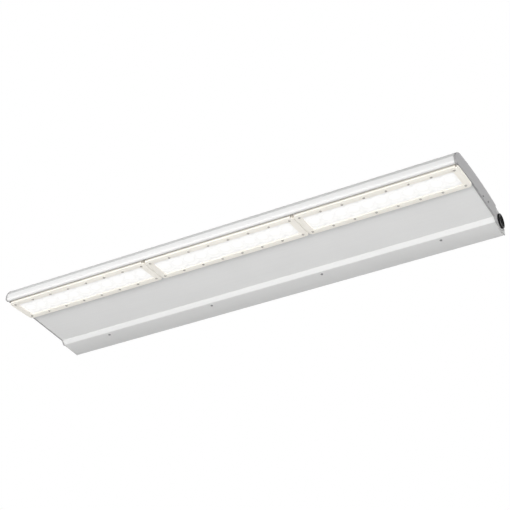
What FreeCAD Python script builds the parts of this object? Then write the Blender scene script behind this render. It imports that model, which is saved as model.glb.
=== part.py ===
import FreeCAD, Part
import math
import os
import re

import Sketcher

# Outdoor linear light: a crowned hollow housing with three lamp modules under its nose and a
# driver box along the wall. Lengths are in millimetres. The origin is the middle of the wall
# slots on the wall's plane, +X runs along the light, +Y into the wall and +Z up.

MODULES = (1, 2, 3)
FRAME_SCREW_COLUMNS = 8
LEDS = 11

# Driving sizes.
SIZES = {
    # housing section
    "body_depth": 306.5,        # wall to the front of the nose
    "underside_drop": 16,       # flat underside below the line of the wall slots
    "crown_rise": 42.2,         # highest line of the top above the flat underside
    "crown_place": 132,         # highest line of the top from the wall
    "crown_radius": 1000,
    "nose_radius": 38,
    "rear_corner": 4,
    "lip_radius": 5,
    "lip_drop": 10.8,           # lowest line of the nose below the flat underside
    "lip_gap": 3.5,             # nose lip to the lamp frames
    "skin": 2.5,
    "rib": 2.5,
    "rib_place": 111,           # middle rib from the wall
    "bed_tilt": 4.6,            # lean of the lamp bed in degrees
    "bed_drop": 0.75,           # middle of the lamp bed below the flat underside
    "bed_thick": 3,
    "bay_gap": 5,               # lamp frames to the rear wall of their bay
    "end_inset": 4,             # housing's end inside the end of the module row
    # driver box
    "box_depth": 57,            # wall to the front of the box's web
    "ledge_depth": 15.4,
    "foot_depth": 8,
    "cover_drop": 9,            # cover's bottom below the flat underside
    "cover_sheet": 1.5,
    "cover_upstand": 5,
    "cover_fit": 0.3,
    "cover_end_gap": 0.5,
    "cover_back_gap": 0.5,
    "cover_screw_inset": 135,
    "step_gap": 2.2,            # foot of the sloped step to the box's web
    "step_run": 10,
    "strip_thick": 1,
    "strip_width": 5,
    "strip_edge": 0.8,
    # screw ports
    "port_radius": 4,
    "port_bore": 1.65,
    "port_sink": 0.8,           # overlap of a port with the wall that carries it
    "panel_port_place": 143,
    "rib_port_rise": 11.5,
    "wall_port_gap": 0.5,       # lower wall port above the cover's upstand
    # wall slots
    "slot_width": 7,
    "slot_length": 16,
    "slot_rise": 20,            # between the two rows of slots
    # ends
    "gasket_thick": 1,
    "gasket_inset": 0.3,
    "cap_thick": 4.5,
    "plate_thick": 2,
    "cap_edge": 0.8,
    "cap_bay_drop": 4,          # cap's lower edge below the lamp bed
    "cap_split": 1.5,           # gap between cap and box plate
    "lug_rise": 10,             # lug's middle above the middle of the nose
    "lug_depth": 16,
    "lug_height": 8,
    "lug_length": 8,
    "lug_fit": 0.5,
    "end_screw_head": 2.3,
    "end_screw_grip": 12,
    # cable bush
    "bush_place": 28.7,         # bush's middle from the wall
    "bush_rise": 12,
    "bush_radius": 19.5,
    "bush_proud": 5,
    "bush_bevel": 1.5,
    "bush_ring": 14,
    "bush_ring_deep": 2,
    "bush_mouth": 9.5,
    "bush_neck": 15,
    "bush_lip": 1.6,
    "bush_fit": 0.3,
    # lamp modules
    "module_pitch": 400,
    "module_setback": 11.95,    # front of the nose to the front of the lamp frames
    "frame_gap": 0.8,
    "frame_depth": 91.5,
    "frame_thick": 4,
    "frame_corner": 10,
    "window_end": 16.6,
    "window_side": 17.05,
    "window_corner": 6,
    "flange_overlap": 2,        # lens plate's flange past the window
    "flange_thick": 1.5,
    "flange_fit": 0.5,
    "lens_radius": 13,
    "lens_proud": 2.3,
    "lens_taper": 40,
    "seal_thick": 1,
    "base_thick": 5,
    "base_margin": 6.5,
    "base_floor": 2,
    "pocket_margin": 1,         # base's pocket past the window
    "board_margin": 1,
    "board_thick": 1.6,
    "led_pitch": 33.1,
    "led_size": 5,
    "led_thick": 0.8,
    "frame_screw_end": 12.25,
    "frame_screw_side": 11.65,
    "frame_screw_stop": 0.5,
    "groove_roof": 1,
    "skirt_thick": 3,           # frame's wall round the base
    "skirt_gap": 1,
    "notch_end": 4.5,
    "notch_width": 3,
    "notch_depth": 4.5,
    # small screws
    "screw_head": 3.1,
    "screw_head_height": 1.8,
    "screw_shank": 1.45,
    "screw_fit": 0.3,
    "fixing_head": 2.8,
    "fixing_inset": 4.5,
    "thread_past": 1.5,
    # drivers, terminals and leads
    "driver_length": 160,
    "driver_depth": 34,
    "driver_height": 26,
    "driver_chamfer": 1.5,
    "driver_lift": 0.5,         # above the ends of the cover's screws
    "ear_length": 12,
    "ear_thick": 2,
    "terminal_length": 36,
    "terminal_depth": 22,
    "terminal_height": 18,
    "terminal_gap": 6,
    "terminal_pole": 2.4,
    "terminal_pole_deep": 5,
    "terminal_pole_pitch": 10,
    "terminal_screw_height": 3.5,
    "earth_inset": 20,
    "lead_radius": 2.5,
    "lead_shift": 16,
    "lead_rise": 20,
    "lead_bend": 15,
    "lead_room": 1,
    "lead_lift": 0.3,
    "mains_radius": 3.5,
    "mains_out": 12,
    "mains_up": 9,
}

# Sizes and places worked out from the driving ones, in the housing's frame.
WORKED = {
    "under_z": "-underside_drop",
    "crown_y": "-crown_place",
    "crown_z": "under_z + crown_rise - crown_radius",
    "nose_y": "-body_depth + nose_radius",
    "nose_z": "crown_z + sqrt((crown_radius - nose_radius)^2 - (nose_y - crown_y)^2)",
    "nose_dir_y": "(nose_y - crown_y) / (crown_radius - nose_radius)",
    "nose_dir_z": "(nose_z - crown_z) / (crown_radius - nose_radius)",
    "corner_y": "-rear_corner",
    "corner_z": "crown_z + sqrt((crown_radius - rear_corner)^2 - (corner_y - crown_y)^2)",
    "corner_dir_y": "(corner_y - crown_y) / (crown_radius - rear_corner)",
    "corner_dir_z": "(corner_z - crown_z) / (crown_radius - rear_corner)",
    "lip_bottom_z": "under_z - lip_drop",
    "lip_z": "lip_bottom_z + lip_radius",
    "lip_y": "nose_y - sqrt((nose_radius - lip_radius)^2 - (lip_z - nose_z)^2)",
    "lip_dir_y": "(lip_y - nose_y) / (nose_radius - lip_radius)",
    "lip_dir_z": "(lip_z - nose_z) / (nose_radius - lip_radius)",
    "module_y": "-body_depth + module_setback + frame_depth / 2",
    "module_z": "under_z - bed_drop",
    "lean": "tan(bed_tilt * 1deg)",
    "lip_back_y": "-body_depth + module_setback - lip_gap",
    "bay_rear_y": "module_y + frame_depth / 2 + bay_gap",
    "chamber_front_z": "module_z + bed_thick + (skin - body_depth - module_y) * lean",
    "web_y": "-box_depth",
    "box_front_y": "web_y + rib",
    "foot_z": "under_z - cover_drop + cover_sheet + strip_thick",
    "ledge_z": "foot_z + skin",
    "step_foot_y": "web_y - step_gap",
    "step_top_y": "step_foot_y - step_run",
    "split_y": "web_y + rib / 2",
    "row_length": f"{len(MODULES)} * module_pitch",
    "body_length": "row_length - 2 * end_inset",
    "half_length": "body_length / 2",
    "cap_x": "half_length + gasket_thick",
    "plate_x": "cap_x + plate_thick",
    "cover_screw_y": "web_y + ledge_depth / 2",
    "cover_screw_pitch": "(body_length - 2 * cover_screw_inset) / 3",
    "rib_port_z": "under_z + rib_port_rise",
    "panel_port_z": "under_z + skin + port_radius - port_sink",
    "web_port_y": "box_front_y + port_radius - port_sink",
    "wall_port_y": "-skin - port_radius + port_sink",
    "upstand_top_z": "under_z - cover_drop + cover_sheet + cover_upstand",
    "wall_port_z": "upstand_top_z + wall_port_gap + port_radius",
    "frame_length": "module_pitch - frame_gap",
    "window_length": "frame_length - 2 * window_end",
    "window_depth": "frame_depth - 2 * window_side",
    "flange_length": "window_length + 2 * flange_overlap",
    "flange_depth": "window_depth + 2 * flange_overlap",
    "frame_top": "-base_thick - seal_thick",
    "frame_bottom": "frame_top - frame_thick",
    "skirt_corner": "frame_corner - skirt_thick",
    "frame_screw_x": "frame_length / 2 - frame_screw_end",
    "frame_screw_y": "frame_depth / 2 - frame_screw_side",
    "frame_screw_pitch": f"2 * frame_screw_x / {FRAME_SCREW_COLUMNS - 1}",
    "base_length": "frame_length - 2 * base_margin",
    "base_depth": "frame_depth - 2 * base_margin",
    "pocket_length": "window_length + 2 * pocket_margin",
    "pocket_depth": "window_depth + 2 * pocket_margin",
    "fixing_x": "base_length / 2 - fixing_inset",
    "screw_hole": "screw_shank + screw_fit",
    "lead_hole": "lead_radius + lead_room",
    "lead_z": "under_z + lead_rise",
    "driver_z": "ledge_z + thread_past + driver_lift",
    "terminal_x": "module_pitch + (driver_length + terminal_length) / 2 + 2 * ear_length + terminal_gap",
    "earth_x": "half_length - earth_inset",
    "mains_y": "box_front_y + mains_out",
    "mains_z": "driver_z + mains_up",
}

COUNTER = 1
CLOCKWISE = -1
# Small repeated round forms are drawn with few sides.
HEAD_SIDES = 8
HOLE_SIDES = 4
LEAD_SIDES = 6
LENS_SIDES = 8
PORT_SIDES = 8
BUSH_SIDES = 20
NORMALS = {"XY_Plane": 1, "XZ_Plane": -1, "YZ_Plane": 1}

doc = FreeCAD.newDocument("LinearLight")


# Sheets, sketches and features.

def bound(text):
    """Write the size names in a formula as cells of the two sheets."""
    def cell(match):
        name = match.group(0)
        if name in SIZES:
            return f"Sizes.{name}"
        if name in WORKED:
            return f"Worked.{name}"
        return name
    return re.sub(r"[a-z][a-z_]*[a-z]", cell, text)


def fill_sheet(name, cells):
    sheet = doc.addObject("Spreadsheet::Sheet", name)
    for row, (alias, content) in enumerate(cells.items(), start=1):
        sheet.set(f"A{row}", alias)
        sheet.set(f"B{row}", content)
        sheet.setAlias(f"B{row}", alias)
    doc.recompute()


def new_body(label):
    return doc.addObject("PartDesign::Body", label)


def place(body, **coordinates):
    """Tie a body's place to the sheets, one coordinate at a time."""
    for axis, formula in coordinates.items():
        body.setExpression(f"Placement.Base.{axis}", bound(formula))


def seat_in_bed(body, module):
    """Lay a piece, drawn flat, against the leaning lamp bed."""
    body.Placement = FreeCAD.Placement(FreeCAD.Vector(), FreeCAD.Rotation(FreeCAD.Vector(1, 0, 0), 1))
    place(body, x=module_x(module), y="module_y", z="module_z")
    body.setExpression("Placement.Rotation.Angle", bound("bed_tilt"))


def sketch(body, plane, level="0"):
    """A sketch across one axis of the body's frame, at a level along that axis."""
    drawing = body.newObject("Sketcher::SketchObject", "Sketch")
    support = next(item for item in body.Origin.OriginFeatures if item.Role == plane)
    drawing.AttachmentSupport = (support, "")
    drawing.MapMode = "FlatFace"
    drawing.setExpression("AttachmentOffset.Base.z", bound(f"{NORMALS[plane]} * ({level})"))
    return drawing


def constrain(drawing, rules):
    """Add constraints; a rule is a kind, its elements and, for a size, the formula that drives it."""
    formulas = {}
    constraints = []
    for kind, elements, formula in rules:
        if formula is None:
            constraints.append(Sketcher.Constraint(kind, *elements))
            continue
        formulas[len(constraints)] = bound(formula)
        constraints.append(Sketcher.Constraint(kind, *elements, value(drawing, formula)))
    first = drawing.ConstraintCount
    drawing.addConstraint(constraints)
    for index, formula in formulas.items():
        drawing.setExpression(f"Constraints[{first + index}]", formula)


def value(item, formula):
    return float(item.evalExpression(bound(formula)))


def bowed_side(here, there, radius, turn):
    """The short arc from one corner to the next, and which of its ends is which corner."""
    chord = there - here
    rise = math.sqrt(max(radius**2 - (chord.Length / 2)**2, 0))
    left = FreeCAD.Vector(-chord.y, chord.x, 0).normalize()
    centre = (here + there) * 0.5 + left * rise * turn
    start, end = (here, there) if turn == COUNTER else (there, here)
    first, last = (math.atan2(point.y - centre.y, point.x - centre.x) for point in (start, end))
    circle = Part.Circle(centre, FreeCAD.Vector(0, 0, 1), radius)
    arc = Part.ArcOfCircle(circle, first, last if last > first else last + 2 * math.pi)
    return arc, (1, 2) if turn == COUNTER else (2, 1)


def outline(drawing, corners):
    """Draw a closed line through corners; a radius and a turn in a corner bow the side after it."""
    points = [FreeCAD.Vector(value(drawing, corner[0]), value(drawing, corner[1]), 0) for corner in corners]
    first = drawing.GeometryCount
    sides = []
    ends = []
    rules = []
    for index, (corner, here) in enumerate(zip(corners, points)):
        there = points[(index + 1) % len(points)]
        if len(corner) == 2:
            side, side_ends = Part.LineSegment(here, there), (1, 2)
        else:
            side, side_ends = bowed_side(here, there, value(drawing, corner[2]), corner[3])
            rules.append(("Radius", (first + index,), corner[2]))
        sides.append(side)
        ends.append(side_ends)
        rules.append(("DistanceX", (-1, 1, first + index, side_ends[0]), corner[0]))
        rules.append(("DistanceY", (-1, 1, first + index, side_ends[0]), corner[1]))
    drawing.addGeometry(sides, False)
    for index, side_ends in enumerate(ends):
        following = (index + 1) % len(ends)
        joint = (first + index, side_ends[1], first + following, ends[following][0])
        rules.append(("Coincident", joint, None))
    constrain(drawing, rules)


def rectangle(drawing, length, depth, corner=None, centre=("0", "0")):
    """Draw a rectangle by its size and middle, with round corners where a radius is given."""
    x, y = centre
    low_x, high_x = f"{x} - ({length}) / 2", f"{x} + ({length}) / 2"
    low_y, high_y = f"{y} - ({depth}) / 2", f"{y} + ({depth}) / 2"
    if corner is None:
        outline(drawing, [(low_x, low_y), (high_x, low_y), (high_x, high_y), (low_x, high_y)])
        return
    round_off = (corner, COUNTER)
    outline(drawing, [
        (f"{low_x} + {corner}", low_y),
        (f"{high_x} - {corner}", low_y, *round_off),
        (high_x, f"{low_y} + {corner}"),
        (high_x, f"{high_y} - {corner}", *round_off),
        (f"{high_x} - {corner}", high_y),
        (f"{low_x} + {corner}", high_y, *round_off),
        (low_x, f"{high_y} - {corner}"),
        (low_x, f"{low_y} + {corner}", *round_off),
    ])


def polygons(drawing, centres, radius, sides):
    """Draw regular polygons, each with a flat side across its first axis."""
    turns = [360 * (corner + 0.5) / sides for corner in range(sides)]
    for x, y in centres:
        corners = [
            (f"{x} + ({radius}) * cos({turn}deg)", f"{y} + ({radius}) * sin({turn}deg)")
            for turn in turns
        ]
        outline(drawing, corners)


def extrude(kind, body, drawing, length, toward):
    """Pad or pocket a sketch up or down its axis, or to both sides where toward is 0."""
    feature = body.newObject(f"PartDesign::{kind}", kind)
    feature.Profile = drawing
    feature.setExpression("Length", bound(length))
    feature.Midplane = toward == 0
    along_normal = toward * NORMALS[drawing.AttachmentSupport[0][0].Role]
    feature.Reversed = along_normal < 0 if kind == "Pad" else along_normal > 0
    return feature


def pad(body, drawing, length, toward):
    feature = extrude("Pad", body, drawing, length, toward)
    doc.recompute()
    return feature


def pocket(body, drawing, length, toward=0):
    doc.recompute()
    before = body.Shape.Volume
    feature = extrude("Pocket", body, drawing, length, toward)
    doc.recompute()
    if not body.Shape.Volume < before:
        raise RuntimeError(f"a cut in {body.Label} misses it")
    return feature


def repeat(body, features, drawing, step, copies):
    """Repeat features along their sketch's horizontal axis."""
    pattern = body.newObject("PartDesign::LinearPattern", "Pattern")
    pattern.Originals = features
    pattern.Direction = (drawing, ["H_Axis"])
    pattern.setExpression("Length", bound(f"{copies - 1} * {step}"))
    pattern.Occurrences = copies
    body.Tip = pattern
    doc.recompute()


def break_edges(body, feature, toward, size):
    """Chamfer the outer rim of the outermost flat face in one direction."""
    outermost = max(feature.Shape.Faces, key=lambda face: face.CenterOfMass.dot(toward))
    rim = outermost.OuterWire.Edges
    edges = enumerate(feature.Shape.Edges, start=1)
    chamfer = body.newObject("PartDesign::Chamfer", "Chamfer")
    chamfer.Base = (feature, [f"Edge{number}" for number, edge in edges if any(map(edge.isSame, rim))])
    chamfer.setExpression("Size", bound(size))
    doc.recompute()


# Lines that several pieces share.

def module_x(module):
    return f"{module - 2} * module_pitch"


def bed_z(y):
    """Underside of the lamp bed."""
    return f"module_z + ({y} - module_y) * lean"


def inner_crown_z(y):
    """Underside of the housing's top skin."""
    return f"crown_z + sqrt((crown_radius - skin)^2 - ({y} - crown_y)^2)"


def crowned_edge(inset):
    """Corners of the section's outer edge from the wall over the crown and nose to the lip."""
    def on_arc(centre, radius, direction):
        reach = f"({radius} - {inset})"
        return (
            f"{centre}_y + {reach} * {direction}_dir_y",
            f"{centre}_z + {reach} * {direction}_dir_z",
        )
    return [
        (f"-{inset}", "corner_z", f"rear_corner - {inset}", COUNTER),
        (*on_arc("corner", "rear_corner", "corner"), f"crown_radius - {inset}", COUNTER),
        (*on_arc("nose", "nose_radius", "nose"), f"nose_radius - {inset}", COUNTER),
        (*on_arc("nose", "nose_radius", "lip"), f"lip_radius - {inset}", COUNTER),
        ("lip_y", f"lip_bottom_z + {inset}"),
    ]


def lower_edge(inset):
    """Corners of an end's lower edge from the lip to the foot of the step."""
    return [
        (f"lip_back_y - {inset}", f"lip_bottom_z + {inset}"),
        (f"lip_back_y - {inset}", f"{bed_z('lip_back_y')} - cap_bay_drop + {inset}"),
        ("bay_rear_y", f"under_z + {inset}"),
        ("step_top_y", f"under_z + {inset}"),
        ("step_foot_y", f"under_z - cover_drop + {inset}"),
    ]


CAP_SCREWS = [("-panel_port_place", "panel_port_z"), ("-rib_place", "rib_port_z")]
PLATE_SCREWS = [
    ("web_port_y", f"{inner_crown_z('web_port_y')} - port_radius + port_sink"),
    ("wall_port_y", "wall_port_z"),
]
LUG_CENTRE = ("nose_y - lug_depth", "nose_z + lug_rise")
BUSH_CENTRE = ("-bush_place", "under_z + bush_rise")
COVER_SCREWS = [(f"{step / 2} * cover_screw_pitch", "cover_screw_y") for step in (-3, -1, 1, 3)]
SIDES = {"left": -1, "right": 1}


def lead_x(module):
    return f"{module_x(module)} + lead_shift"


def ear_screws(middle, foot, length, height):
    """Places of the two screws in a case's ears, across the box's web."""
    reach = f"({length} + ear_length) / 2"
    return [(f"{middle} {sign} {reach}", f"{foot} + {height} / 2") for sign in "-+"]


def box_screws():
    places = ear_screws("terminal_x", "driver_z", "terminal_length", "terminal_height")
    for module in MODULES:
        places += ear_screws(module_x(module), "driver_z", "driver_length", "driver_height")
    return places


def frame_screws():
    """Places of one frame's screws, in the module's own frame."""
    columns = [f"-frame_screw_x + {step} * frame_screw_pitch" for step in range(FRAME_SCREW_COLUMNS)]
    return [(column, row) for column in columns for row in ("-frame_screw_y", "frame_screw_y")]


# Housing.

def body_extrusion():
    body = new_body("body_extrusion")
    section = sketch(body, "YZ_Plane")
    outline(section, [
        ("0", "foot_z"),
        *crowned_edge("0"),
        ("lip_back_y", "lip_bottom_z"),
        ("lip_back_y", bed_z("lip_back_y")),
        ("bay_rear_y", bed_z("bay_rear_y")),
        ("bay_rear_y", "under_z"),
        ("web_y", "under_z"),
        ("web_y", "foot_z"),
        ("web_y + ledge_depth", "foot_z"),
        ("web_y + ledge_depth", "ledge_z"),
        ("box_front_y", "ledge_z"),
        ("box_front_y", inner_crown_z("box_front_y"), "crown_radius - skin", CLOCKWISE),
        ("-skin", inner_crown_z("-skin")),
        ("-skin", "ledge_z"),
        ("-foot_depth", "ledge_z"),
        ("-foot_depth", "foot_z"),
    ])
    nose_chamber(section)
    rear_chamber(section, "bay_rear_y + rib", "-rib_place - rib / 2")
    rear_chamber(section, "-rib_place + rib / 2", "web_y")
    pad(body, section, "body_length", 0)
    screw_ports(body)
    wall_slots(body)
    bed_holes(body)
    lead_passages(body)
    web_holes(body)
    cover_holes(body, "foot_z + skin / 2", "2 * skin", "port_bore")


def nose_chamber(section):
    inner_nose = "(nose_radius - skin)"
    outline(section, [
        (f"nose_y - sqrt({inner_nose}^2 - (chamber_front_z - nose_z)^2)", "chamber_front_z"),
        ("bay_rear_y", f"{bed_z('bay_rear_y')} + bed_thick"),
        ("bay_rear_y", inner_crown_z("bay_rear_y"), "crown_radius - skin", COUNTER),
        (f"nose_y + {inner_nose} * nose_dir_y", f"nose_z + {inner_nose} * nose_dir_z", inner_nose, COUNTER),
    ])


def rear_chamber(section, front_y, rear_y):
    outline(section, [
        (front_y, "under_z + skin"),
        (rear_y, "under_z + skin"),
        (rear_y, inner_crown_z(f"({rear_y})"), "crown_radius - skin", COUNTER),
        (front_y, inner_crown_z(f"({front_y})")),
    ])


def screw_ports(body):
    """Round ports along the housing that take the screws of the end caps and plates."""
    walls = sketch(body, "YZ_Plane")
    polygons(walls, CAP_SCREWS + PLATE_SCREWS, "port_radius", PORT_SIDES)
    pad(body, walls, "body_length", 0)
    bores = sketch(body, "YZ_Plane")
    polygons(bores, CAP_SCREWS + PLATE_SCREWS, "port_bore", PORT_SIDES)
    pocket(body, bores, "row_length")


def wall_slots(body):
    slots = sketch(body, "XZ_Plane")
    for side in (-1, 1):
        for row in (-1, 1):
            slot(slots, f"{side} * module_pitch / 2", f"{row} * slot_rise / 2")
    pocket(body, slots, "4 * skin")


def slot(drawing, x, z):
    """Draw a slot along the light, its round ends as quarter turns."""
    end = "slot_width / 2"
    reach = f"(slot_length / 2 - {end})"
    round_off = (end, COUNTER)
    outline(drawing, [
        (f"{x} - {reach}", f"{z} - {end}"),
        (f"{x} + {reach}", f"{z} - {end}", *round_off),
        (f"{x} + slot_length / 2", z, *round_off),
        (f"{x} + {reach}", f"{z} + {end}"),
        (f"{x} - {reach}", f"{z} + {end}", *round_off),
        (f"{x} - slot_length / 2", z, *round_off),
    ])


def bed_holes(body):
    """Holes in the lamp bed for the module leads and for the screws of the bases."""
    holes = sketch(body, "XY_Plane", "module_z + bed_thick / 2")
    polygons(holes, [(lead_x(module), "module_y") for module in MODULES], "lead_hole", LEAD_SIDES)
    mid_y = "module_y - bed_thick / 2 * lean"
    fixings = [(f"{module_x(module)} {sign} fixing_x", mid_y) for module in MODULES for sign in "-+"]
    polygons(holes, fixings, "screw_hole", HOLE_SIDES)
    pocket(body, holes, "4 * bed_thick")


def lead_passages(body):
    """Holes through both ribs and the box's web for the module leads."""
    holes = sketch(body, "XZ_Plane", "(bay_rear_y + box_front_y) / 2")
    polygons(holes, [(lead_x(module), "lead_z") for module in MODULES], "lead_hole", LEAD_SIDES)
    pocket(body, holes, "box_front_y - bay_rear_y + 2 * lead_room")


def web_holes(body):
    holes = sketch(body, "XZ_Plane", "web_y + rib / 2")
    polygons(holes, box_screws() + [("earth_x", "mains_z")], "screw_hole", HOLE_SIDES)
    pocket(body, holes, "2 * rib")


def cover_holes(body, level, length, radius):
    holes = sketch(body, "XY_Plane", level)
    polygons(holes, COVER_SCREWS, radius, HOLE_SIDES)
    pocket(body, holes, length)


# Driver box cover.

def driver_cover():
    body = new_body("driver_cover")
    section = sketch(body, "YZ_Plane")
    bottom, inner = "under_z - cover_drop", "(under_z - cover_drop + cover_sheet)"
    slant = "(cover_sheet * sqrt(step_run^2 + cover_drop^2) / cover_drop)"
    upstand_y = "-foot_depth - cover_fit"
    outline(section, [
        ("step_top_y", "under_z"),
        ("step_foot_y", bottom),
        ("-cover_back_gap", bottom),
        ("-cover_back_gap", inner),
        (upstand_y, inner),
        (upstand_y, "upstand_top_z"),
        (f"{upstand_y} - cover_sheet", "upstand_top_z"),
        (f"{upstand_y} - cover_sheet", inner),
        (f"step_foot_y - step_run * cover_sheet / cover_drop + {slant}", inner),
        (f"step_top_y + {slant}", "under_z"),
    ])
    pad(body, section, "body_length - 2 * cover_end_gap", 0)
    cover_holes(body, f"{bottom} + cover_sheet / 2", "2 * cover_sheet", "screw_hole")


def driver_cover_seal():
    body = new_body("driver_cover_seal")
    strips = sketch(body, "XY_Plane", "foot_z")
    length = "body_length - 2 * cover_end_gap"
    rectangle(strips, length, "strip_width", centre=("0", "web_y + strip_edge + strip_width / 2"))
    rectangle(strips, length, "strip_width", centre=("0", "-strip_edge - strip_width / 2"))
    pad(body, strips, "strip_thick", -1)


def driver_cover_screws():
    body = new_body("driver_cover_screws")
    grip = "cover_sheet + strip_thick + skin + thread_past"
    screws(body, "XY_Plane", "under_z - cover_drop", -1, COVER_SCREWS, "screw_head", grip)


def screws(body, plane, level, outward, places, head_radius, grip):
    """Screws with heads outward of a level and plain shanks behind it."""
    heads = sketch(body, plane, level)
    polygons(heads, places, head_radius, HEAD_SIDES)
    head = pad(body, heads, "screw_head_height", outward)
    shanks = sketch(body, plane, level)
    polygons(shanks, places, "screw_shank", HOLE_SIDES)
    shank = pad(body, shanks, grip, -outward)
    return head, shank, heads


# Ends.

def end_cap(name, side):
    body = new_body(f"end_cap_{name}")
    face = sketch(body, "YZ_Plane", f"{side} * cap_x")
    rear = "split_y - cap_split / 2"
    top = f"crown_z + sqrt(crown_radius^2 - ({rear} - crown_y)^2)"
    outline(face, [
        (rear, "under_z - cover_drop"),
        (rear, top, "crown_radius", COUNTER),
        *crowned_edge("0")[2:],
        *lower_edge("0"),
    ])
    polygons(face, CAP_SCREWS, "screw_hole", HOLE_SIDES)
    plate = pad(body, face, "cap_thick", side)
    break_edges(body, plate, FreeCAD.Vector(side, 0, 0), "cap_edge")
    lug = sketch(body, "YZ_Plane", f"{side} * cap_x")
    rectangle(lug, "lug_depth", "lug_height", centre=LUG_CENTRE)
    pad(body, lug, "gasket_thick + lug_length", -side)


def box_end_plate(name, side):
    body = new_body(f"box_end_plate_{name}")
    face = sketch(body, "YZ_Plane", f"{side} * cap_x")
    front = "split_y + cap_split / 2"
    top = f"crown_z + sqrt(crown_radius^2 - ({front} - crown_y)^2)"
    corner, crown = crowned_edge("0")[:2]
    outline(face, [
        ("0", "under_z - cover_drop"),
        corner,
        crown,
        (front, top),
        (front, "under_z - cover_drop"),
    ])
    polygons(face, PLATE_SCREWS, "screw_hole", HOLE_SIDES)
    if side == SIDES["right"]:
        polygons(face, [BUSH_CENTRE], "bush_neck", BUSH_SIDES)
    plate = pad(body, face, "plate_thick", side)
    break_edges(body, plate, FreeCAD.Vector(side, 0, 0), "cap_edge")


def end_gasket(name, side):
    body = new_body(f"end_gasket_{name}")
    sheet = sketch(body, "YZ_Plane", f"{side} * half_length")
    outline(sheet, [
        ("-gasket_inset", "under_z - cover_drop + gasket_inset"),
        *crowned_edge("gasket_inset"),
        *lower_edge("gasket_inset"),
    ])
    polygons(sheet, CAP_SCREWS + PLATE_SCREWS, "screw_hole", HOLE_SIDES)
    rectangle(sheet, "lug_depth + 2 * lug_fit", "lug_height + 2 * lug_fit", centre=LUG_CENTRE)
    if side == SIDES["right"]:
        polygons(sheet, [BUSH_CENTRE], "bush_neck + bush_fit", BUSH_SIDES)
    pad(body, sheet, "gasket_thick", side)


def end_screws(label, places, thick):
    """Screws through both ends' caps or plates into the housing's ports."""
    body = new_body(label)
    for side in SIDES.values():
        level = f"{side} * (cap_x + {thick})"
        grip = f"{thick} + gasket_thick + end_screw_grip"
        screws(body, "YZ_Plane", level, side, places, "end_screw_head", grip)


def cable_bush():
    """Rubber bush with a stepped, closed mouth and a lip behind the plate."""
    body = new_body("cable_bush")
    rings = [
        ("plate_x", "bush_radius", "bush_proud", 1),
        ("plate_x", "bush_neck", "plate_thick + gasket_thick", -1),
        ("half_length", "bush_neck + bush_lip", "bush_lip", -1),
    ]
    for index, (level, radius, length, toward) in enumerate(rings):
        ring = sketch(body, "YZ_Plane", level)
        polygons(ring, [BUSH_CENTRE], radius, BUSH_SIDES)
        solid = pad(body, ring, length, toward)
        if index == 0:
            break_edges(body, solid, FreeCAD.Vector(1, 0, 0), "bush_bevel")
    for radius, depth in (("bush_ring", "bush_ring_deep"), ("bush_mouth", "bush_proud")):
        mouth = sketch(body, "YZ_Plane", "plate_x + bush_proud")
        polygons(mouth, [BUSH_CENTRE], radius, BUSH_SIDES)
        pocket(body, mouth, depth, -1)


# Lamp modules, drawn flat with the lamp bed at height 0.

def module_frame(module):
    body = new_body(f"module_frame_{module}")
    seat_in_bed(body, module)
    plate = sketch(body, "XY_Plane", "frame_top")
    rectangle(plate, "frame_length", "frame_depth", "frame_corner")
    rectangle(plate, "window_length", "window_depth", "window_corner")
    pad(body, plate, "frame_thick", -1)
    rebate = sketch(body, "XY_Plane", "frame_top")
    rectangle(rebate, "flange_length + 2 * flange_fit", "flange_depth + 2 * flange_fit")
    pocket(body, rebate, "flange_thick", -1)
    skirt(body)
    column = sketch(body, "XY_Plane", "frame_top")
    first_column = frame_screws()[:2]
    polygons(column, first_column, "screw_hole", HOLE_SIDES)
    hole = pocket(body, column, "frame_thick", -1)
    repeat(body, [hole], column, "frame_screw_pitch", FRAME_SCREW_COLUMNS)


def skirt(body):
    """Wall that hides the base, notched in its front corner on the right."""
    wall = sketch(body, "XY_Plane", "frame_top")
    rectangle(wall, "frame_length", "frame_depth", "frame_corner")
    rectangle(wall, "frame_length - 2 * skirt_thick", "frame_depth - 2 * skirt_thick", "skirt_corner")
    pad(body, wall, "-frame_top - skirt_gap", 1)
    notch = sketch(body, "XY_Plane", "frame_bottom")
    place_on_edge = ("frame_length / 2 - notch_end", "-frame_depth / 2 + notch_depth / 2")
    rectangle(notch, "notch_width", "notch_depth", centre=place_on_edge)
    pocket(body, notch, "-frame_bottom - skirt_gap", 1)


def module_lens(module):
    body = new_body(f"module_lens_{module}")
    seat_in_bed(body, module)
    flange = sketch(body, "XY_Plane", "frame_top")
    rectangle(flange, "flange_length", "flange_depth")
    pad(body, flange, "flange_thick", -1)
    rim = sketch(body, "XY_Plane", "frame_top - flange_thick")
    polygons(rim, [(f"-{LEDS // 2} * led_pitch", "0")], "lens_radius", LENS_SIDES)
    lens = pad(body, rim, "lens_proud", -1)
    lens.setExpression("TaperAngle", bound("-lens_taper"))
    repeat(body, [lens], rim, "led_pitch", LEDS)


def module_seal(module):
    body = new_body(f"module_seal_{module}")
    seat_in_bed(body, module)
    ring = sketch(body, "XY_Plane", "-base_thick")
    rectangle(ring, "flange_length", "flange_depth")
    rectangle(ring, "window_length", "window_depth")
    pad(body, ring, "seal_thick", -1)


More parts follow.
